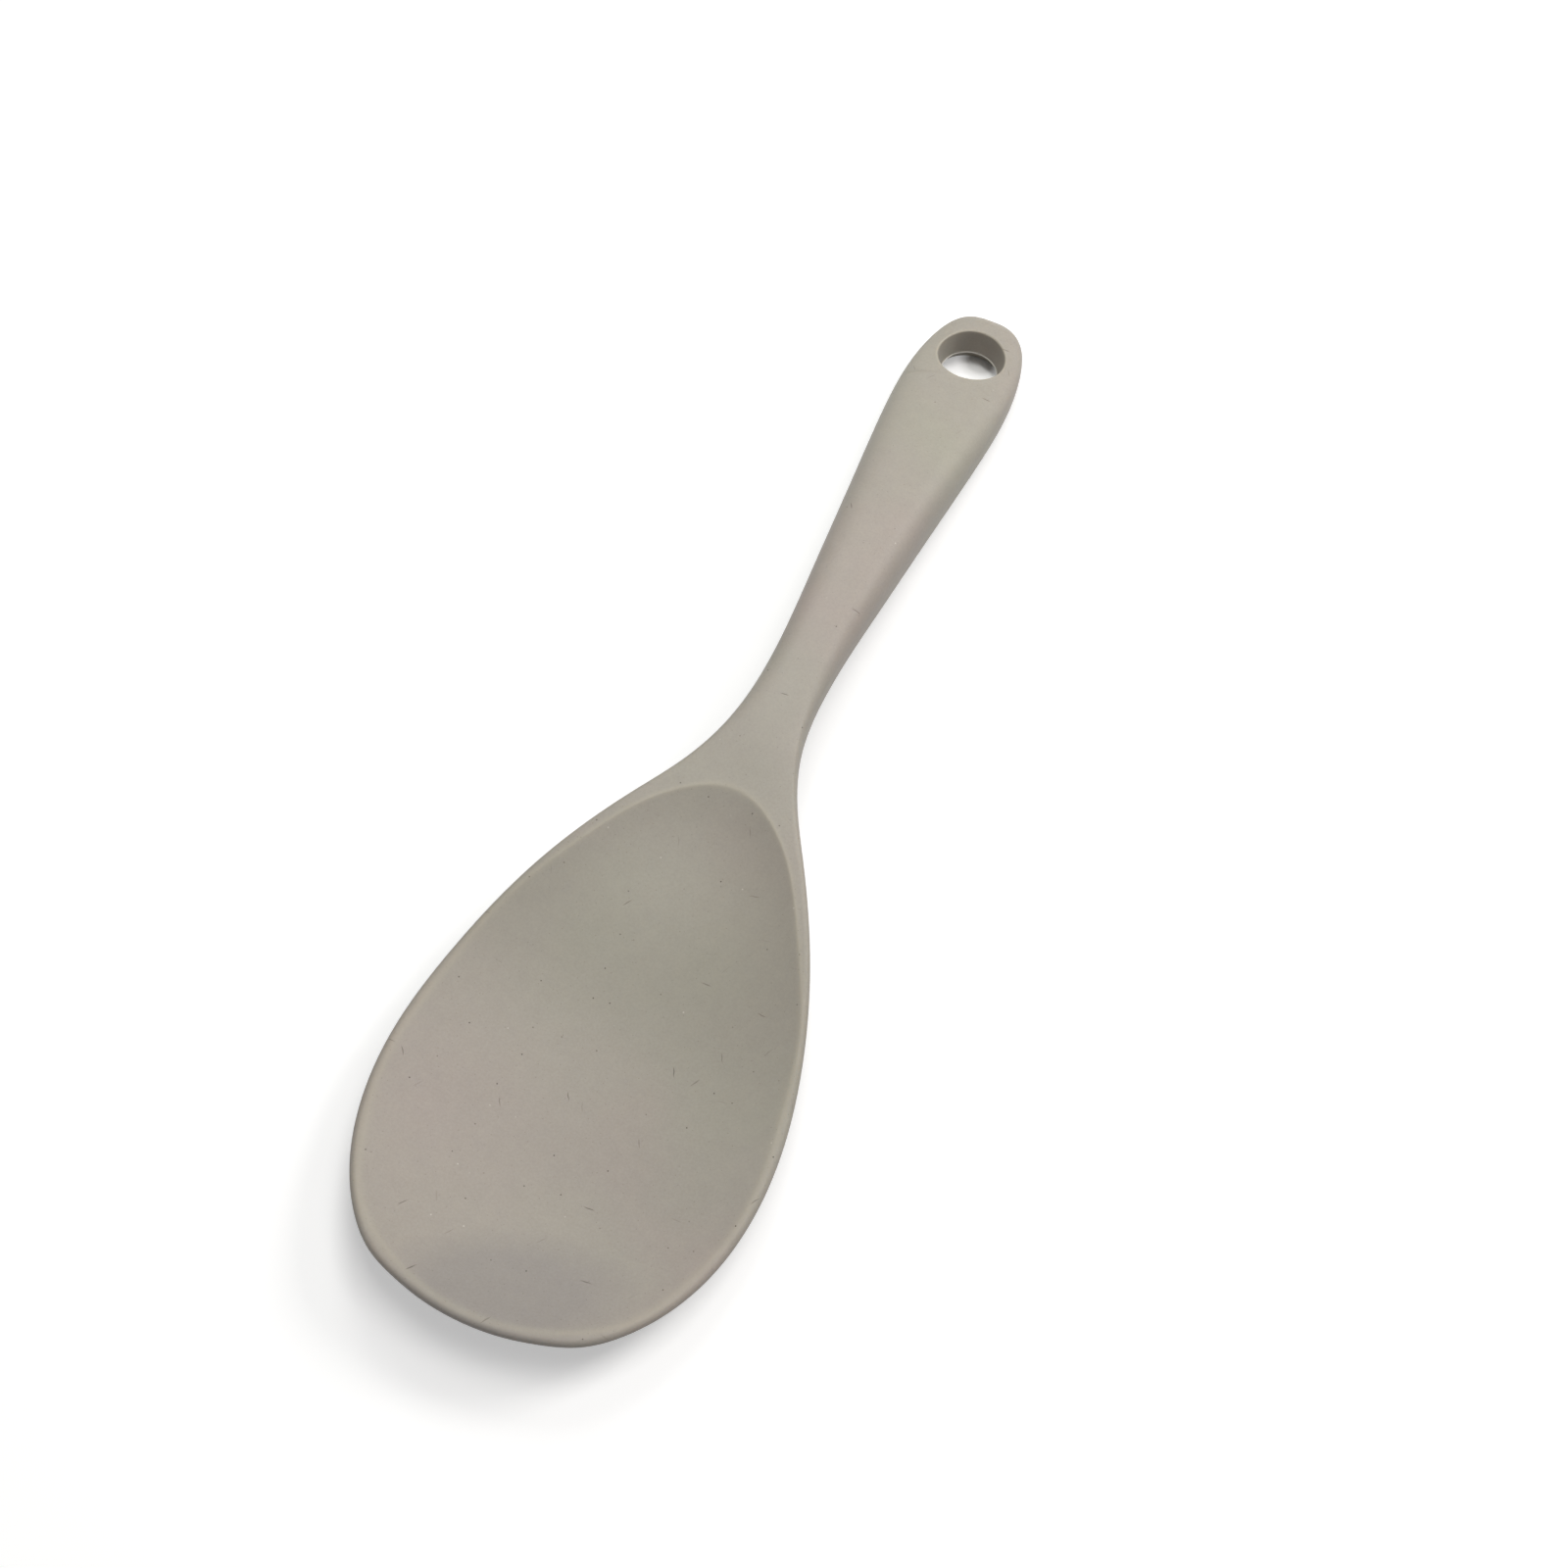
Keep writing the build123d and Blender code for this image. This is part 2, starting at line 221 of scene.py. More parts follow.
@dataclass(frozen=True)
class MouldedSilicone:
    """Silicone rubber cured in a fine-blasted steel mould.

    The blasted mould leaves an even matte surface with no clear reflection, only a broad soft
    sheen. The rubber lets a little light in, so its edges stay soft, and its pigment settles in
    faint warm and cool clouds. Its surface holds static, so it always carries some dust.
    """

    base: str = "#a6a096"
    # Pale colour that paints a highlight along the scoop's edge and the hole's mouths
    edge: str = "#bdb5a2"
    warm: str = "#a99f97"
    cool: str = "#a6a295"
    # Colour of the painted shade near the tip
    tip_painted_shade: str = "#9b958f"
    dark_dust: str = "#3d3831"
    pale_dust: str = "#e2dfd8"
    roughness: float = 0.50
    ior: float = 1.41
    glow: float = 0.18
    glow_mm: float = 1.2
    glow_colours: Triple = (1.0, 0.75, 0.5)
    cloud_mm: float = 38.0
    cloud_levels: Triple = (0.30, 0.50, 0.70)
    mottle_mm: float = 3.2
    mottle_depth: float = 0.02
    # Real blasting leaves pits near 0.05 mm, which no render here shows, so they are drawn larger
    grain_mm: float = 0.45
    grain_depth: float = 0.04
    grain_relief: float = 0.30
    grain_relief_mm: float = 0.02
    noise_roughness: float = 0.6
    noise_levels: Pair = (0.30, 0.70)
    spots: tuple[SoftSpot, ...] = (
        SoftSpot((-24.0, -86.0, 6.0), (42.0, 42.0, 30.0), warm),
        SoftSpot((8.0, -44.0, 8.0), (42.0, 42.0, 30.0), cool),
        # Painted shade: a darker, bluish-grey patch near the tip
        SoftSpot((3.8, -112.0, 9.5), (23.0, 13.5, 12.0), tip_painted_shade, turn=0.46, full=0.45),
    )
    dusts: tuple[Dust, ...] = (
        Dust(7.0, 0.17, 0.9, dark_dust),
        Dust(13.0, 0.17, 0.6, pale_dust),
        Dust(1.7, 0.12, 0.28, dark_dust),
        Dust(6.0, 0.12, 0.6, dark_dust, stretch=9.0, turn=0.5),
        Dust(6.0, 0.12, 0.6, dark_dust, stretch=9.0, turn=1.6),
        Dust(6.0, 0.12, 0.6, dark_dust, stretch=9.0, turn=2.6),
    )
    dust_sway_mm: float = 1.0
    dust_slope: Pair = (0.45, 0.65)
    dust_chance: Pair = (0.45, 0.80)
    dust_core: float = 0.5

    def material(self) -> bpy.types.Material:
        """Join the pigment, the painted highlight on the edges, the dust, the blasted pits and the
        soft glow.

        Returns:
            The material.
        """
        material, tree, place = start_material("silicone_rubber_moulded_matte")
        highlighted = add_node(tree, "ShaderNodeAttribute", {"attribute_name": EDGE_PAINTED_HIGHLIGHT})
        pigment_and_highlight = add_node(tree, "ShaderNodeMix", {"data_type": "RGBA"}, factor=highlighted.outputs["Fac"],
                           a=self.clouds(tree, place), b=linear_colour(self.edge))
        colour = self.dusty(tree, place, pigment_and_highlight.outputs["Result"])
        pits = add_node(tree, "ShaderNodeTexNoise", vector=place, scale=per_metre(self.grain_mm),
                        roughness=self.noise_roughness)
        bump = add_node(tree, "ShaderNodeBump", strength=self.grain_relief,
                        distance=self.grain_relief_mm * MILLIMETRE, height=pits.outputs["Fac"])
        shader = add_node(tree, "ShaderNodeBsdfPrincipled", base_color=colour,
                          roughness=self.roughness, ior=self.ior, subsurface_weight=self.glow,
                          subsurface_radius=self.glow_colours,
                          subsurface_scale=self.glow_mm * MILLIMETRE, normal=bump.outputs["Normal"])
        add_node(tree, "ShaderNodeOutputMaterial", surface=shader.outputs["BSDF"])
        return material

    def clouds(self, tree: Tree, place: Socket) -> Socket:
        """Mix the pigment's warm and cool clouds, its fine mottle and a painted shade near the tip.

        Args:
            tree: Node tree of the material.
            place: Object coordinates.

        Returns:
            Colour output.
        """
        cloud = add_node(tree, "ShaderNodeTexNoise", vector=place, scale=per_metre(self.cloud_mm))
        shades = [linear_colour(shade) for shade in (self.cool, self.base, self.warm)]
        stops = list(zip(self.cloud_levels, shades))
        tint = add_node(tree, "ShaderNodeValToRGB", {"stops": stops}, fac=cloud.outputs["Fac"])
        colour = tint.outputs["Color"]
        for spot in self.spots:
            share = nearness(tree, place, spot.middle_mm, spot.reach_mm,
                             number_ramp(0.0, spot.full), spot.turn)
            colour = add_node(tree, "ShaderNodeMix", {"data_type": "RGBA"}, factor=share, a=colour,
                              b=linear_colour(spot.shade)).outputs["Result"]
        for pitch, depth in ((self.mottle_mm, self.mottle_depth),
                             (self.grain_mm, self.grain_depth)):
            mottle = add_node(tree, "ShaderNodeTexNoise", vector=place, scale=per_metre(pitch),
                              roughness=self.noise_roughness)
            stops = number_ramp(*self.noise_levels, 1 - depth, 1 + depth)
            shade = add_node(tree, "ShaderNodeValToRGB", {"stops": stops},
                             fac=mottle.outputs["Fac"])
            mixed = add_node(tree, "ShaderNodeMix", {"data_type": "RGBA", "blend_type": "MULTIPLY"},
                             factor=1.0, a=colour, b=shade.outputs["Color"])
            colour = mixed.outputs["Result"]
        return colour

    def dusty(self, tree: Tree, place: Socket, colour: Socket) -> Socket:
        """Lay specks and fibres of dust on the pigment, where the surface faces up.

        Args:
            tree: Node tree of the material.
            place: Object coordinates.
            colour: Colour under the dust.

        Returns:
            Colour output.
        """
        facing = add_node(tree, "ShaderNodeSeparateXYZ",
                          vector=add_node(tree, "ShaderNodeTexCoord").outputs["Normal"])
        level = add_node(tree, "ShaderNodeValToRGB", {"stops": number_ramp(*self.dust_slope)},
                         fac=facing.outputs["Z"])
        for dust in self.dusts:
            spread = place if dust.stretch == 1 else self.drawn_out(tree, place, dust)
            cells = add_node(tree, "ShaderNodeTexVoronoi", {"voronoi_dimensions": "2D"},
                             vector=spread, scale=per_metre(dust.pitch_mm))
            rim = dust.radius_mm / dust.pitch_mm
            stops = number_ramp(rim * self.dust_core, rim, dust.strength, 0.0)
            share = add_node(tree, "ShaderNodeValToRGB", {"stops": stops},
                             fac=cells.outputs["Distance"]).outputs["Color"]
            chance = add_node(tree, "ShaderNodeValToRGB", {"stops": number_ramp(*self.dust_chance)},
                              fac=cells.outputs["Color"])
            for part in (chance, level):
                share = add_node(tree, "ShaderNodeMath", {"operation": "MULTIPLY"}, value=share,
                                 value__1=part.outputs["Color"]).outputs["Value"]
            colour = add_node(tree, "ShaderNodeMix", {"data_type": "RGBA"}, factor=share, a=colour,
                              b=linear_colour(dust.shade)).outputs["Result"]
        return colour

    def drawn_out(self, tree: Tree, place: Socket, dust: Dust) -> Socket:
        """Stretch, turn and sway the surface, so that round specks lie on it as bent fibres.

        Args:
            tree: Node tree of the material.
            place: Object coordinates.
            dust: The kind of dust.

        Returns:
            Vector output.
        """
        bent = add_node(tree, "ShaderNodeTexNoise", vector=place, scale=per_metre(self.mottle_mm))
        swayed = add_node(tree, "ShaderNodeVectorMath", {"operation": "MULTIPLY_ADD"},
                          vector=bent.outputs["Color"],
                          vector__1=[self.dust_sway_mm * MILLIMETRE] * 3, vector__2=place)
        drawn = add_node(tree, "ShaderNodeMapping", {"vector_type": "TEXTURE"},
                         vector=swayed.outputs["Vector"], rotation=(0.0, 0.0, dust.turn),
                         scale=(1.0, dust.stretch, 1.0))
        return drawn.outputs["Vector"]


@dataclass(frozen=True)
class SiliconeFlash:
    """Thin film of silicone squeezed out where the mould parts.

    Its pale colour is partly the thin film letting light through and partly a painted highlight
    along the parting line.
    """

    # Pale colour: partly the thin film, partly a painted highlight along the parting line
    base: str = "#e4e1da"
    roughness: float = 0.35
    ior: float = 1.41
    clearness: float = 0.3
    torn_mm: float = 2.0
    torn_relief: float = 0.2
    torn_relief_mm: float = 0.02

    def material(self) -> bpy.types.Material:
        """Make the pale film, partly clear and slightly torn.

        Returns:
            The material.
        """
        material, tree, place = start_material("silicone_rubber_thin_flash")
        torn = add_node(tree, "ShaderNodeTexNoise", vector=place, scale=per_metre(self.torn_mm))
        bump = add_node(tree, "ShaderNodeBump", strength=self.torn_relief,
                        distance=self.torn_relief_mm * MILLIMETRE, height=torn.outputs["Fac"])
        shader = add_node(tree, "ShaderNodeBsdfPrincipled", base_color=linear_colour(self.base),
                          roughness=self.roughness, ior=self.ior,
                          transmission_weight=self.clearness, normal=bump.outputs["Normal"])
        add_node(tree, "ShaderNodeOutputMaterial", surface=shader.outputs["BSDF"])
        return material


@dataclass(frozen=True)
class GlassFilledNylon:
    """Black nylon with short glass fibres, injection moulded.

    The fibres near the surface give it a dull, faintly streaked sheen.
    """

    base: str = "#232426"
    streak: str = "#2f3033"
    roughness: float = 0.48
    ior: float = 1.53
    streak_mm: float = 0.8
    streak_width_share: float = 0.12
    streak_detail: float = 3.0
    streak_levels: Pair = (0.35, 0.70)
    streak_relief: float = 0.2
    streak_relief_mm: float = 0.02

    def material(self) -> bpy.types.Material:
        """Draw the fibres out along the paddle, in colour and in relief.

        Returns:
            The material.
        """
        material, tree, place = start_material("nylon_glass_filled_moulded")
        drawn = add_node(tree, "ShaderNodeMapping", vector=place,
                         scale=(1.0, self.streak_width_share, 1.0))
        fibre = add_node(tree, "ShaderNodeTexNoise", vector=drawn.outputs["Vector"],
                         scale=per_metre(self.streak_mm), detail=self.streak_detail)
        shades = [linear_colour(shade) for shade in (self.base, self.streak)]
        stops = list(zip(self.streak_levels, shades))
        tint = add_node(tree, "ShaderNodeValToRGB", {"stops": stops}, fac=fibre.outputs["Fac"])
        bump = add_node(tree, "ShaderNodeBump", strength=self.streak_relief,
                        distance=self.streak_relief_mm * MILLIMETRE, height=fibre.outputs["Fac"])
        shader = add_node(tree, "ShaderNodeBsdfPrincipled", base_color=tint.outputs["Color"],
                          roughness=self.roughness, ior=self.ior, normal=bump.outputs["Normal"])
        add_node(tree, "ShaderNodeOutputMaterial", surface=shader.outputs["BSDF"])
        return material


@dataclass(frozen=True)
class StudioPaper:
    """White background paper, matte and without texture.

    The lens and reflections see it a little brighter than it is lit, so it reads as pure white
    round the shadow, and far off it runs out into white. It throws back less light than it shows,
    so the paddle's undersides stay deep. The deep shade at the foot of the hanging hole isn't
    lifted.
    """

    sheet: str = "#f0f0f0"
    bounce: str = "#9c9c9c"
    lift: float = 0.36
    fade_mm: float = 600.0
    fade_levels: Pair = (0.1, 0.65)
    shade_place_mm: Triple = (0.5, 113.0, 0.0)
    shade_mm: float = 5.0
    shade_full: float = 0.5

    def material(self) -> bpy.types.Material:
        """Keep what the paper shows apart from the light that it throws back.

        Returns:
            The material.
        """
        material, tree, place = start_material("paper_white_uncoated")
        near = nearness(tree, place, (0.0, 0.0, 0.0), (self.fade_mm,) * 3,
                        number_ramp(*self.fade_levels))
        # Painted shade: round a placed spot under the hanging hole the paper loses its lift and
        # shows darker
        lift = nearness(tree, place, self.shade_place_mm, (self.shade_mm,) * 3,
                        number_ramp(0.0, self.shade_full, self.lift, 0.0))
        bounce = add_node(tree, "ShaderNodeBsdfDiffuse", color=linear_colour(self.bounce))
        sheet = add_node(tree, "ShaderNodeBsdfDiffuse", color=linear_colour(self.sheet))
        raised = add_node(tree, "ShaderNodeEmission", color=lift, strength=1.0)
        white = add_node(tree, "ShaderNodeEmission", strength=1.0)
        lit = add_node(tree, "ShaderNodeAddShader", shader=sheet.outputs["BSDF"],
                       shader__1=raised.outputs["Emission"])
        shown = add_node(tree, "ShaderNodeMixShader", fac=near, shader=white.outputs["Emission"],
                         shader__1=lit.outputs["Shader"])
        both = add_node(tree, "ShaderNodeMixShader", fac=seen_rays(tree),
                        shader=bounce.outputs["BSDF"], shader__1=shown.outputs["Shader"])
        add_node(tree, "ShaderNodeOutputMaterial", surface=both.outputs["Shader"])
        return material


def smooth_curve(knots: Floats, values: Floats, wanted: Floats) -> Floats:
    """Read a curve whose slope and bend run on smoothly through its knots.

    Args:
        knots: Rising places of the knots.
        values: Value, or row of values, at each knot.
        wanted: Places to read.

    Returns:
        The value, or row of values, at each wanted place.
    """
    steps = np.diff(knots)
    slopes = (np.diff(values, axis=0).T / steps).T
    system = np.eye(len(knots))
    right = np.zeros_like(values, dtype=float)
    for place in range(1, len(knots) - 1):
        before, after = steps[place - 1], steps[place]
        system[place, place - 1:place + 2] = before, 2 * (before + after), after
        right[place] = 6 * (slopes[place] - slopes[place - 1])
    bends = np.linalg.solve(system, right)
    cell = np.clip(np.searchsorted(knots, wanted) - 1, 0, len(knots) - 2)
    shape = (-1,) + (1,) * (values.ndim - 1)
    flat = cell.ravel()
    run = (np.ravel(wanted) - knots[flat]).reshape(shape)
    step = steps[flat].reshape(shape)
    near, far = bends[flat], bends[flat + 1]
    rise = slopes[flat] - step * (2 * near + far) / 6
    found = values[flat] + run * (rise + run * (near / 2 + run * (far - near) / (6 * step)))
    return found.reshape(np.shape(wanted) + values.shape[1:])


def mix(start: Any, end: Any, share: Any) -> Any:
    """Value at a share of the way from start to end."""
    return start + (end - start) * share


def rounded(depth: Floats, radius: Any) -> Floats:
    """Share of the full height at a depth inside an edge that is rounded to radius."""
    return np.sqrt(np.maximum(0.0, 1 - np.maximum(0.0, 1 - depth / radius) ** 2))


def ease(start: float, end: float, value: Floats) -> Floats:
    """Share from zero to one between start and end, level at both."""
    share = np.clip((value - start) / (end - start), 0.0, 1.0)
    return share * share * (3 - 2 * share)


def softer_minimum(first: Floats, second: Floats, reach: float) -> Floats:
    """Lower of two heights, with the edge between them rounded over reach."""
    share = np.clip(0.5 + (second - first) / (2 * reach), 0.0, 1.0)
    return mix(second, first, share) - reach * share * (1 - share)


def even_share(density: Floats, count: int) -> Floats:
    """Places that share out a density evenly.

    Args:
        density: How close the places lie, at even steps from zero to one. The last axis runs along.
        count: Number of gaps between the places.

    Returns:
        Places from zero to one, with one more than count along the last axis.
    """
    steps = np.linspace(0.0, 1.0, density.shape[-1])
    middle = (density[..., 1:] + density[..., :-1]) / 2
    start = np.zeros(density.shape[:-1] + (1,))
    total = np.concatenate([start, np.cumsum(middle, axis=-1)], axis=-1)
    total /= total[..., -1:]
    wanted = np.linspace(0.0, 1.0, count + 1)
    if density.ndim == 1:
        return np.interp(wanted, total, steps)
    return np.array([np.interp(wanted, row, steps) for row in total])


@dataclass(frozen=True)
class BladePlace:
    """One place along the blade, in shares of the paddle's own sizes."""

    along: float
    half: float
    to_tip: float
    to_shoulder: float
    depth: float
    land: float
    wall: float


@dataclass(frozen=True)
class NeckPlace:
    """One place between the shoulder and the waist, in shares of the paddle's own sizes."""

    along: float
    half: float
    rise: float
    bar: float
    above: float


@dataclass(frozen=True)
class GripPlace:
    """One place along the grip, in shares of the paddle's own sizes."""

    along: float
    half: float
    thickness: float
    rise: float


BLADE_PLACES = (
    BladePlace(0.074, 0.708, 0.64, 0.00, 0.45, 1.41, 1.00),
    BladePlace(0.148, 0.881, 0.29, 0.00, 0.78, 1.15, 1.00),
    BladePlace(0.219, 0.966, 0.09, 0.00, 0.94, 1.06, 1.00),
    BladePlace(0.304, 1.000, 0.00, 0.01, 1.00, 1.00, 1.00),
    BladePlace(0.444, 0.941, 0.00, 0.08, 0.96, 1.04, 1.00),
    BladePlace(0.593, 0.762, 0.00, 0.60, 0.83, 1.18, 1.05),
    BladePlace(0.741, 0.477, 0.00, 0.98, 0.46, 2.35, 1.40),
)
NECK_PLACES = (
    NeckPlace(0.815, 0.321, 1.00, 0.25, 0.28),
    NeckPlace(0.889, 0.219, 0.86, 0.60, 0.42),
)
GRIP_PLACES = (
    GripPlace(0.238, 0.646, 0.91, 0.796),
    GripPlace(0.429, 0.783, 1.00, 0.622),
    GripPlace(0.619, 0.932, 0.93, 0.436),
    GripPlace(0.781, 1.000, 0.72, 0.262),
)
# Wall of the hanging hole: share of the way down, and share of the mouth's radius
BORE_SHARES = (
    (0.0, 1.0), (0.04, 0.985), (0.2, 0.960), (0.45, 0.915), (0.66, 0.880), (0.692, 0.872),
    (0.697, 0.848), (0.703, 0.840), (0.711, 0.842), (0.717, 0.880), (0.80, 0.915),
    (0.90, 0.950), (0.96, 0.970), (1.0, 1.0),
)
# Gaps between those places that the flash covers
FLASH_ROWS = (5, 6, 7, 8)
# Degrees round the tip's arc and the end's at which the outline has knots
TIP_TURNS = (5, 10, 18, 26)
END_TURNS = (75, 55, 36, 18, 8)
# Knots past each end of the half outline, mirrored so that the curve crosses the middle square on
MIRRORED_KNOTS = 3


@dataclass(frozen=True)
class Station:
    """One slice across the paddle, in millimetres, and how far it has turned into a bar."""

    y: float
    half: float
    middle: float
    up: float
    down: float
    bar: float


@dataclass(frozen=True)
class PaddleForm:
    """Outer form of the paddle, in millimetres: its outline and the heights of its two faces."""

    tip_y: float = -119.8
    waist_y: float = 15.0
    end_y: float = 119.85
    blade_length: float = 135.0
    handle_length: float = 105.0
    blade_half: float = 35.98
    neck_half: float = 6.3
    grip_half: float = 11.75
    end_radius: float = 9.9
    tip_radius: float = 44.0
    tip_height: float = 10.9
    dip_height: float = 6.6
    shoulder_height: float = 13.5
    neck_height: float = 12.3
    grip_end_height: float = 3.0
    end_height: float = 3.2
    rim_thickness: float = 2.4
    blade_wall: float = 3.0
    shoulder_thickness: float = 6.6
    neck_thickness: float = 9.6
    grip_thickness: float = 15.16
    ring_above: float = 4.1
    ring_below: float = 4.9
    end_above: float = 4.4
    end_below: float = 3.5
    end_round: float = 3.5
    scoop_depth: float = 5.4
    rim_land: float = 1.7
    scoop_from_waist: float = 27.4
    scoop_neck_radius: float = 30.0
    hole_radius: float = 7.0
    hole_stretch: float = 1.045
    hole_from_end: float = 13.7
    hole_lip: float = 0.50
    hole_half_share: float = 1.113
    hole_rise_share: float = 0.17
    edge_softness: float = 0.12
    grip_power: float = 2.8
    ring_power: float = 3.2
    ring_power_y: Pair = (85.0, 105.0)
    run_out: float = 8.0

    @property
    def hole_y(self) -> float:
        """Place of the hanging hole's axis."""
        return self.waist_y + self.handle_length - self.hole_from_end

    def from_hole(self, x: Floats, y: Floats) -> Floats:
        """Distance from the edge of the hanging hole, negative inside it."""
        return np.hypot(x, (y - self.hole_y) / self.hole_stretch) - self.hole_radius

    def end_middle(self, y: float) -> float:
        """Height of the middle between the hole's axis and the end."""
        share = self.hole_rise_share * (self.end_y - y) / self.hole_from_end
        return mix(self.end_height, self.neck_height, share)

    def blade_stations(self) -> list[Station]:
        """Slice the blade between the tip and the shoulder.

        Returns:
            The slices, in the order of BLADE_PLACES.
        """
        stations = []
        for row in BLADE_PLACES:
            middle = self.dip_height + row.to_tip * (self.tip_height - self.dip_height)
            middle += row.to_shoulder * (self.shoulder_height - self.dip_height)
            half_rim = self.rim_thickness / 2
            down = row.depth * self.scoop_depth + row.wall * self.blade_wall - half_rim
            stations.append(Station(self.waist_y - (1 - row.along) * self.blade_length,
                                    row.half * self.blade_half, middle, half_rim, down, 0.0))
        return stations

    def handle_stations(self) -> list[Station]:
        """Slice the neck, the waist and the grip.

        Returns:
            The slices, from the shoulder to the hole's axis.
        """
        stations = []
        for row in NECK_PLACES:
            thick = mix(self.shoulder_thickness, self.neck_thickness, row.bar)
            stations.append(Station(self.waist_y - (1 - row.along) * self.blade_length,
                                    row.half * self.blade_half,
                                    mix(self.neck_height, self.shoulder_height, row.rise),
                                    row.above * thick, (1 - row.above) * thick, row.bar))
        thick = self.neck_thickness / 2
        stations.append(Station(self.waist_y, self.neck_half, self.neck_height, thick, thick, 1.0))
        for row in GRIP_PLACES:
            thick = row.thickness * self.grip_thickness / 2
            stations.append(Station(self.waist_y + row.along * self.handle_length,
                                    row.half * self.grip_half,
                                    mix(self.grip_end_height, self.neck_height, row.rise),
                                    thick, thick, 1.0))
        stations.append(Station(self.hole_y, self.hole_half_share * self.end_radius,
                                self.end_middle(self.hole_y), self.ring_above, self.ring_below,
                                1.0))
        return stations

    def heights(self, y: Floats) -> tuple[Floats, Floats, Floats, Floats]:
        """Read the middle height, the two half thicknesses and the share of bar along the paddle.

        Args:
            y: Places along the paddle.

        Returns:
            Middle, thickness above it, thickness below it and share of bar.
        """
        half_rim = self.rim_thickness / 2
        stations = [Station(self.tip_y, 0.0, self.tip_height, half_rim, half_rim, 0.0)]
        stations += self.blade_stations() + self.handle_stations()
        stations.append(Station(self.end_y, 0.0, self.end_height, self.end_above, self.end_below,
                                1.0))
        knots = np.array([station.y for station in stations])
        rows = np.array([(s.middle, s.up, s.down, s.bar) for s in stations])
        middle, up, down, bar = np.moveaxis(smooth_curve(knots, rows, y), -1, 0)
        return middle, up, down, np.clip(bar, 0.0, 1.0)

    def outline_knots(self) -> Floats:
        """Place the knots on the right of the outline.

        Returns:
            Points in plan, from the tip to the end.
        """
        points = [(0.0, self.tip_y)]
        for turn in TIP_TURNS:
            angle = math.radians(turn)
            points.append((self.tip_radius * math.sin(angle),
                           self.tip_y + self.tip_radius * (1 - math.cos(angle))))
        points += [(s.half, s.y) for s in self.blade_stations() + self.handle_stations()]
        for turn in END_TURNS:
            angle = math.radians(turn)
            points.append((self.end_radius * math.sin(angle),
                           self.end_y - self.end_radius * (1 - math.cos(angle))))
        points.append((0.0, self.end_y))
        return np.array(points)

    def outline(self, shares: Floats) -> Floats:
        """Read the right side of the outline.

        Args:
            shares: Places from zero at the tip to one at the end, by length.

        Returns:
            Points in plan.
        """
        right = self.outline_knots()
        left = right * (-1, 1)
        more = MIRRORED_KNOTS
        ring = np.concatenate([left[more:0:-1], right, left[-2:-2 - more:-1]])
        run = np.concatenate([[0.0], np.cumsum(np.hypot(*np.diff(ring, axis=0).T))])
        return smooth_curve(run, ring, mix(run[more], run[-1 - more], shares))

    def scoop_floor(self, x: Floats, y: Floats) -> Floats:
        """Height of the surface that hollows the blade.

        Args:
            x: Places across the paddle.
            y: Places along the paddle.

        Returns:
            Heights, far above the paddle where there is no scoop.
        """
        blade = self.blade_stations()
        tops = [s.middle + s.up for s in blade]
        depths = [row.depth * self.scoop_depth for row in BLADE_PLACES]
        bends = [depth / (s.half - row.land * self.rim_land) ** 2
                 for row, s, depth in zip(BLADE_PLACES, blade, depths)]
        near_y = self.tip_y + self.rim_land
        near_slope = (blade[0].middle - self.tip_height) / (blade[0].y - self.tip_y)
        near_top = self.tip_height + near_slope * self.rim_land + self.rim_thickness / 2
        near_run = depths[0] * self.run_out / (blade[0].y - near_y)
        far_y = self.waist_y - self.scoop_from_waist
        far_run = depths[-1] * self.run_out / (far_y - blade[-1].y)
        far_bend = 1 / (2 * self.scoop_neck_radius)
        middle, up, _, _ = self.heights(np.array([far_y, far_y + self.run_out]))
        far_top = middle + up
        knots = np.array([near_y - self.run_out, near_y, *[s.y for s in blade],
                          far_y, far_y + self.run_out])
        floors = np.array([near_top - near_slope * self.run_out + near_run, near_top,
                           *[top - depth for top, depth in zip(tops, depths)],
                           far_top[0], far_top[1] + far_run])
        curves = np.array([bends[0], bends[0], *bends, far_bend, far_bend])
        rows = smooth_curve(knots, np.stack([floors, curves], axis=-1), np.minimum(y, knots[-1]))
        return rows[..., 0] + rows[..., 1] * x ** 2 + np.maximum(0.0, y - knots[-1])

    def face_height(self, face: Face, x: Floats, y: Floats, depth: Floats, half: Floats) -> Floats:
        """Height of one face of the paddle.

        Args:
            face: Upper or lower face.
            x: Places across the paddle.
            y: Places along the paddle.
            depth: Distances from the outline, in plan.
            half: Half widths of the paddle at y.

        Returns:
            Heights before the paddle is stood on its lowest point.
        """
        middle, up, down, bar = self.heights(y)
        across = np.clip(np.abs(x) / half, 0.0, 1.0)
        power = mix(self.grip_power, self.ring_power, ease(*self.ring_power_y, y))
        oval = (1 - across ** power) ** (1 / power)
        oval = oval * rounded(self.end_y - y, self.end_round)
        half_rim = self.rim_thickness / 2
        edge = rounded(depth, half_rim)
        lip = np.maximum(self.from_hole(x, y), 0.0)
        lip = self.hole_lip * (1 - rounded(lip, self.hole_lip))
        if face is Face.UPPER:
            top = middle + up * mix(edge, oval, bar) - lip
            return softer_minimum(top, self.scoop_floor(x, y), self.edge_softness)
        belly = half_rim * edge + (down - half_rim) * (1 - across ** 2)
        return middle - mix(belly, down * oval, bar) + lip


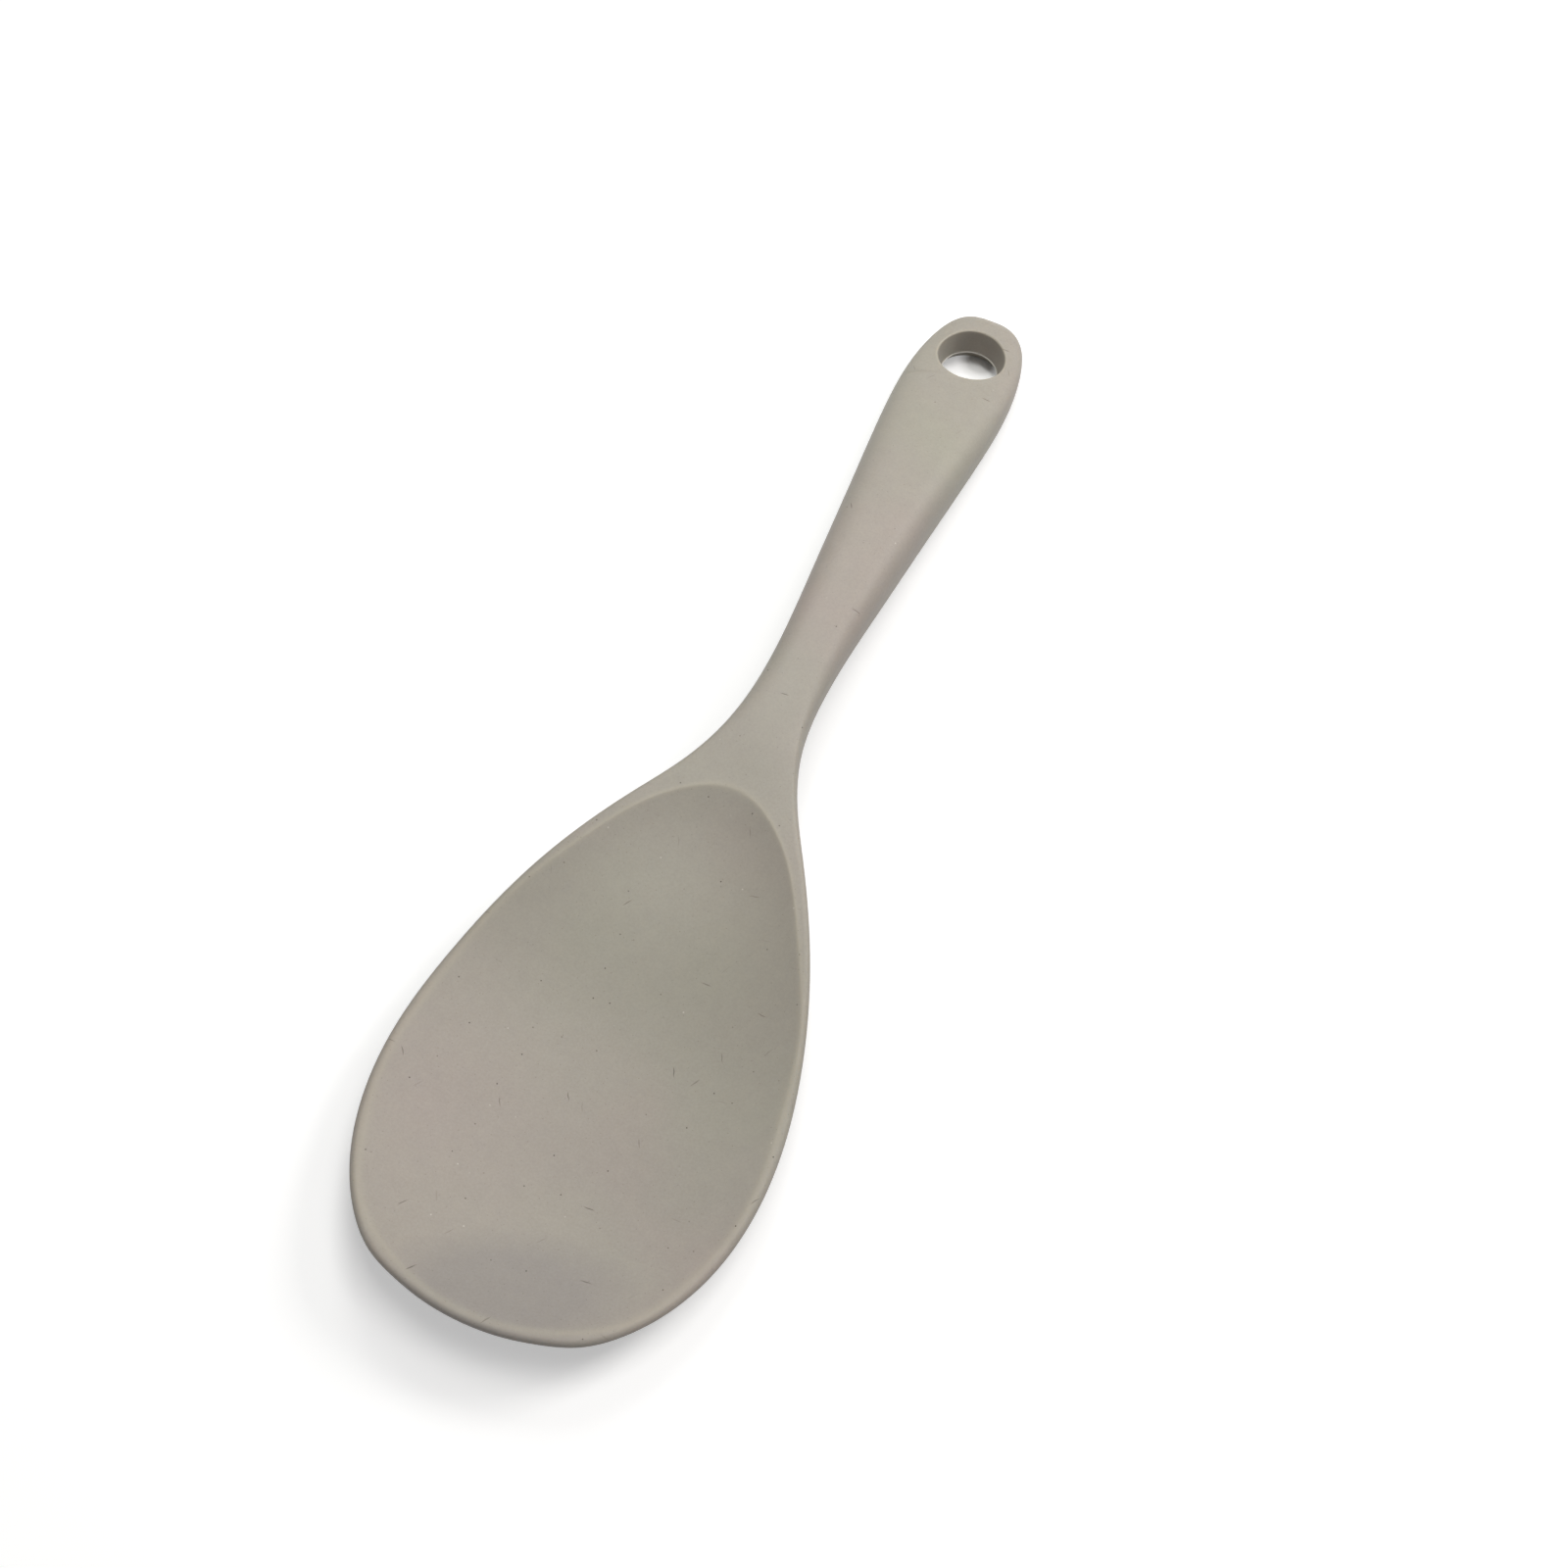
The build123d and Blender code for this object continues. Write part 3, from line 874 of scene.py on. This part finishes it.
@dataclass
class SiliconeSkin:
    """The whole outside of the paddle, moulded in one round the insert."""

    form: PaddleForm
    finish: MouldedSilicone
    flash: SiliconeFlash
    rungs: int = 420
    upper_columns: int = 74
    lower_columns: int = 34
    outline_samples: int = 3000
    width_samples: int = 8000
    rung_samples: int = 500
    batch: int = 2000
    rung_gap: float = 0.75
    rung_gap_saved: float = 0.35
    end_dense_y: Pair = (95.0, 110.0)
    scoop_dense_y: tuple[float, float, float, float] = (-34.0, -24.0, -6.0, 4.0)
    # Gap between points at an edge, and how fast it grows away from it
    edge_gap: Pair = (0.03, 0.16)
    mouth_gap: Pair = (0.05, 0.2)
    scoop_gap: Pair = (0.2, 0.5)
    widest_gap: float = 1.0
    fan_y: float = -88.0
    lean_from_y: float = 60.0
    hole_rungs_from_y: float = 95.5
    # Reach, inset and strength of the painted highlight on the scoop's edge and the hole's mouths
    highlight_reach: float = 0.25
    highlight_inset: float = 0.25
    highlight_depth: float = 0.3

    def outline_points(self) -> Floats:
        """Space the rungs, closer together at the end and at the scoop's upper edge.

        Returns:
            Points along the outline, in plan.
        """
        y = self.form.outline(np.linspace(0.0, 1.0, self.outline_samples))[:, 1]
        enter, inside, leave, outside = self.scoop_dense_y
        dense = ease(*self.end_dense_y, y) + ease(enter, inside, y) - ease(leave, outside, y)
        return self.form.outline(even_share(1 / (self.rung_gap - self.rung_gap_saved * dense),
                                            self.rungs))

    def first_hole_rung(self, outer: Floats) -> int:
        """Number of the first rung that ends at the hanging hole."""
        return int(np.searchsorted(outer[:, 1], self.hole_rungs_from_y))

    def inner_points(self, outer: Floats) -> Floats:
        """Points where the rungs from the outline end: on the middle line and round the hole.

        Args:
            outer: Points along the outline.

        Returns:
            One point for each rung.
        """
        form = self.form
        reach = form.hole_radius * form.hole_stretch
        shift = form.hole_y - reach - self.hole_rungs_from_y
        lean = shift * ease(self.lean_from_y, self.hole_rungs_from_y, outer[:, 1])
        y = np.maximum(self.fan_y, outer[:, 1] + lean)
        inner = np.stack([np.zeros_like(y), y], axis=-1)
        first = self.first_hole_rung(outer)
        turn = np.linspace(-math.pi / 2, math.pi / 2, len(outer) - first)
        inner[first:, 0] = form.hole_radius * np.cos(turn)
        inner[first:, 1] = form.hole_y + reach * np.sin(turn)
        inner[-1, 0] = 0.0
        return inner

    def lattice(self, face: Face, outer: Floats, inner: Floats, columns: int) -> Floats:
        """Points of one face in plan, a row for each rung.

        Args:
            face: Upper or lower face.
            outer: Outer ends of the rungs.
            inner: Inner ends of the rungs.
            columns: Number of gaps along a rung.

        Returns:
            Points in plan, closer together near the edges.
        """
        form = self.form
        along = np.linspace(0.0, 1.0, self.rung_samples)[None, :, None]
        fine = mix(outer[:, None], inner[:, None], along)
        x, y = fine[..., 0], fine[..., 1]
        reach = np.hypot(*(fine - outer[:, None]).transpose(2, 0, 1))
        edges = [(self.edge_gap, reach), (self.mouth_gap, np.abs(form.from_hole(x, y)))]
        if face is Face.UPPER:
            middle, up, _, _ = form.heights(y)
            edges.append((self.scoop_gap, np.abs(middle + up - form.scoop_floor(x, y))))
        gap = np.full_like(reach, self.widest_gap)
        for (least, growth), away in edges:
            gap = np.minimum(gap, least + growth * away)
        shares = even_share(1 / gap, columns)[..., None]
        return mix(outer[:, None], inner[:, None], shares)

    def outline_depth(self, plan: Floats, outer: Floats) -> Floats:
        """Distance of each point from the outline.

        Args:
            plan: Points in plan.
            outer: Points along the right of the outline.

        Returns:
            Distances in plan.
        """
        starts, runs = outer[:-1], np.diff(outer, axis=0)
        squares = (runs ** 2).sum(axis=1)
        flat = plan.reshape(-1, 2)
        found = np.empty(len(flat))
        for start in range(0, len(flat), self.batch):
            batch = slice(start, start + self.batch)
            away = flat[batch, None] - starts
            share = np.clip((away * runs).sum(axis=-1) / squares, 0.0, 1.0)
            away = away - share[..., None] * runs
            found[batch] = np.sqrt((away ** 2).sum(axis=-1).min(axis=1))
        return found.reshape(plan.shape[:-1])

    def face_points(self, face: Face, outer: Floats, inner: Floats, columns: int) -> Floats:
        """Points of the right half of one face.

        Args:
            face: Upper or lower face.
            outer: Outer ends of the rungs.
            inner: Inner ends of the rungs.
            columns: Number of gaps along a rung.

        Returns:
            Points in space, whose first column lies on the outline.
        """
        plan = self.lattice(face, outer, inner, columns)
        x, y = plan[..., 0], plan[..., 1]
        fine = self.form.outline(np.linspace(0.0, 1.0, self.width_samples))
        half = np.maximum(np.interp(y, fine[:, 1], fine[:, 0]), TINY)
        height = self.form.face_height(face, x, y, self.outline_depth(plan, outer), half)
        height[:, 0] = self.form.heights(y[:, 0])[0]
        return np.concatenate([plan, height[..., None]], axis=-1)

    def patches(self) -> list[tuple[Floats, Floats]]:
        """Cover the right half of the skin.

        Returns:
            Grids of points, each with a one for every column of flash and a zero for the rest.
        """
        outer = self.outline_points()
        outer[0, 0] = outer[-1, 0] = 0.0
        inner = self.inner_points(outer)
        upper = self.face_points(Face.UPPER, outer, inner, self.upper_columns)
        lower = self.face_points(Face.LOWER, outer, inner, self.lower_columns)
        first = self.first_hole_rung(outer)
        wall = self.bore_wall(upper[first:, -1], lower[first:, -1])
        film = np.zeros(len(BORE_SHARES) - 1, dtype=int)
        film[list(FLASH_ROWS)] = 1
        lift = (0.0, 0.0, -lower[..., 2].min())
        return [(upper + lift, np.zeros(self.upper_columns, dtype=int)),
                (lower + lift, np.zeros(self.lower_columns, dtype=int)), (wall + lift, film)]

    def bore_wall(self, top: Floats, bottom: Floats) -> Floats:
        """Wall of the hanging hole, drafted from both mouths to a thin ledge where the mould parts.

        Args:
            top: Points along the upper mouth.
            bottom: Points along the lower mouth.

        Returns:
            Points in space, a row for each point of a mouth.
        """
        form = self.form
        profile = np.array(BORE_SHARES)
        wall = mix(top[:, None], bottom[:, None], profile[:, :1])
        squeeze = profile[:, 1]
        wall[..., 0] *= squeeze
        wall[..., 1] = form.hole_y + (wall[..., 1] - form.hole_y) * squeeze
        return wall

    def edge_wear(self, patch: Floats) -> Floats:
        """Say how much painted highlight each point takes, most on the scoop's edge and the hole's
        mouths.

        Args:
            patch: Points in space.

        Returns:
            Shares of the pale colour that paints the highlight.
        """
        form = self.form
        x, y = patch[..., 0], patch[..., 1]
        middle, up, _, _ = form.heights(y)
        drop = (form.scoop_floor(x, y) - middle - up) / self.highlight_reach
        scoop = np.exp(-(drop - self.highlight_inset) ** 2) * (patch[..., 2] > middle)
        mouth = np.exp(-(form.from_hole(x, y) / self.highlight_reach - 1) ** 2)
        return self.highlight_depth * np.maximum(scoop, mouth)

    def build(self) -> bpy.types.Object:
        """Build the skin as one closed mesh.

        Returns:
            The object, in metres.
        """
        points, faces, thin, highlighted, start = [], [], [], [], 0
        for patch, film in self.patches():
            for side in (1, -1):
                rows, columns = patch.shape[:2]
                points.append((patch * (side, 1, 1)).reshape(-1, 3) * MILLIMETRE)
                highlighted.append(self.edge_wear(patch).ravel())
                place = np.arange(rows * columns).reshape(rows, columns) + start
                quads = np.stack([place[:-1, :-1], place[1:, :-1], place[1:, 1:], place[:-1, 1:]],
                                 axis=-1).reshape(-1, 4)
                faces.append(quads)
                thin.append(np.tile(film, rows - 1))
                start += rows * columns
        mesh = bpy.data.meshes.new("silicone_skin_moulding")
        mesh.from_pydata(np.concatenate(points).tolist(), [], np.concatenate(faces).tolist())
        mesh.polygons.foreach_set("material_index", np.concatenate(thin))
        highlight = mesh.attributes.new(EDGE_PAINTED_HIGHLIGHT, "FLOAT", "POINT")
        highlight.data.foreach_set("value", np.concatenate(highlighted).astype(np.float32))
        shape = bmesh.new()
        shape.from_mesh(mesh)
        bmesh.ops.remove_doubles(shape, verts=shape.verts, dist=TINY)
        bmesh.ops.recalc_face_normals(shape, faces=shape.faces)
        for face in shape.faces:
            face.smooth = True
        shape.to_mesh(mesh)
        shape.free()
        mesh.materials.append(self.finish.material())
        mesh.materials.append(self.flash.material())
        skin = bpy.data.objects.new("silicone_skin_moulding", mesh)
        bpy.context.scene.collection.objects.link(skin)
        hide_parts("silicone_skin")
        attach(skin, "root")
        return skin


@dataclass
class StiffeningCore:
    """The rigid insert inside the skin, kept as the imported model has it."""

    finish: GlassFilledNylon

    def dress(self) -> bpy.types.Object:
        """Give the insert its material.

        Returns:
            The insert's object.
        """
        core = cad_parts["stiffening_core"]
        material = self.finish.material()
        for slot in core.material_slots:
            slot.material = material
        return core


@dataclass(frozen=True)
class SoftBox:
    """Square lamp that faces the paddle: its middle and width in metres, and its power in watts."""

    name: str
    place: Triple
    side: float
    power: float
    colour: str


@dataclass
class Studio:
    """White table, soft lamps and the camera."""

    paper: StudioPaper
    lamps: tuple[SoftBox, ...] = (
        SoftBox("overhead_soft_box", (0.17, 0.24, 1.26), 0.7, 6.2, "#fffdfb"),
        SoftBox("back_soft_box", (0.49, 0.54, 0.58), 0.3, 3.0, "#fffdfa"),
        SoftBox("handle_soft_box", (-0.09, 0.17, 0.28), 0.12, 0.29, "#fdfffa"),
        SoftBox("front_soft_box", (0.15, -0.75, 0.6), 0.5, 0.45, "#fffaf8"),
    )
    table_side_m: float = 6.0
    world_colour: str = "#f4f6f8"
    world_strength: float = 0.20
    # Degrees by which the camera looks round, down and is rolled
    view_az: float = -19.95
    view_el: float = 60.84
    view_roll: float = 4.77
    # Where the camera sees the origin: across, above and away
    target_mm: Triple = (-4.55, 1.15, 440.58)
    focal_px: float = 2346.3
    sensor_mm: float = 36.0

    def lay_table(self) -> bpy.types.Object:
        """Lay the paper on the table.

        Returns:
            The sheet.
        """
        half = self.table_side_m / 2
        corners = [(-half, -half, 0), (half, -half, 0), (half, half, 0), (-half, half, 0)]
        mesh = bpy.data.meshes.new("studio_paper")
        mesh.from_pydata(corners, [], [tuple(range(len(corners)))])
        mesh.materials.append(self.paper.material())
        sheet = bpy.data.objects.new("studio_paper", mesh)
        bpy.context.scene.collection.objects.link(sheet)
        return sheet

    def hang_lamp(self, box: SoftBox) -> bpy.types.Object:
        """Hang a soft box.

        Args:
            box: The soft box.

        Returns:
            The lamp.
        """
        lamp = bpy.data.lights.new(box.name, "AREA")
        lamp.shape = "SQUARE"
        lamp.size = box.side
        lamp.energy = box.power
        lamp.color = linear_colour(box.colour)[:3]
        hung = bpy.data.objects.new(box.name, lamp)
        hung.location = box.place
        hung.rotation_euler = (-Vector(box.place)).to_track_quat("-Z", "Y").to_euler()
        hung.visible_camera = False
        bpy.context.scene.collection.objects.link(hung)
        return hung

    def light(self) -> None:
        """Set the plain soft light."""
        world = bpy.data.worlds.new("studio_walls")
        world.use_nodes = True
        tree = world.node_tree
        tree.nodes.clear()
        walls = add_node(tree, "ShaderNodeBackground", color=linear_colour(self.world_colour),
                         strength=self.world_strength)
        seen = add_node(tree, "ShaderNodeBackground", color=grey(1.0), strength=1.0)
        both = add_node(tree, "ShaderNodeMixShader", fac=seen_rays(tree),
                        shader=walls.outputs["Background"], shader__1=seen.outputs["Background"])
        add_node(tree, "ShaderNodeOutputWorld", surface=both.outputs["Shader"])
        bpy.context.scene.world = world
        for box in self.lamps:
            self.hang_lamp(box)

    def aim_camera(self) -> bpy.types.Object:
        """Place the camera where the photograph was taken from.

        Returns:
            The camera.
        """
        az, el, roll = np.radians((self.view_az, self.view_el, self.view_roll)).tolist()
        ahead = Vector((math.sin(az) * math.cos(el), math.cos(az) * math.cos(el), -math.sin(el)))
        level = Vector((math.cos(az), -math.sin(az), 0.0))
        raised = level.cross(ahead)
        right = math.cos(roll) * level + math.sin(roll) * raised
        up = math.cos(roll) * raised - math.sin(roll) * level
        turn = Matrix((right, up, -ahead)).transposed()
        across, above, away = (length * MILLIMETRE for length in self.target_mm)
        lens = bpy.data.cameras.new("camera")
        lens.sensor_width = self.sensor_mm
        lens.lens = self.focal_px * self.sensor_mm / PICTURE_SIDE
        camera = bpy.data.objects.new("camera", lens)
        camera.matrix_world = (Matrix.Translation(-(across * right + above * up + away * ahead))
                               @ turn.to_4x4())
        bpy.context.scene.collection.objects.link(camera)
        bpy.context.scene.camera = camera
        return camera


def main() -> None:
    """Build the skin, dress the core and set up the studio."""
    logging.basicConfig(level=logging.INFO, format="%(message)s")
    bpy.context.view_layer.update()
    bpy.context.scene.view_settings.view_transform = "Standard"
    skin = SiliconeSkin(PaddleForm(), MouldedSilicone(), SiliconeFlash()).build()
    log.info("%s: %d faces", skin.name, len(skin.data.polygons))
    core = StiffeningCore(GlassFilledNylon()).dress()
    log.info("%s: dressed", core.name)
    studio = Studio(StudioPaper())
    log.info("%s: laid", studio.lay_table().name)
    studio.light()
    log.info("%s: aimed", studio.aim_camera().name)


if __name__ == "__main__":
    main()
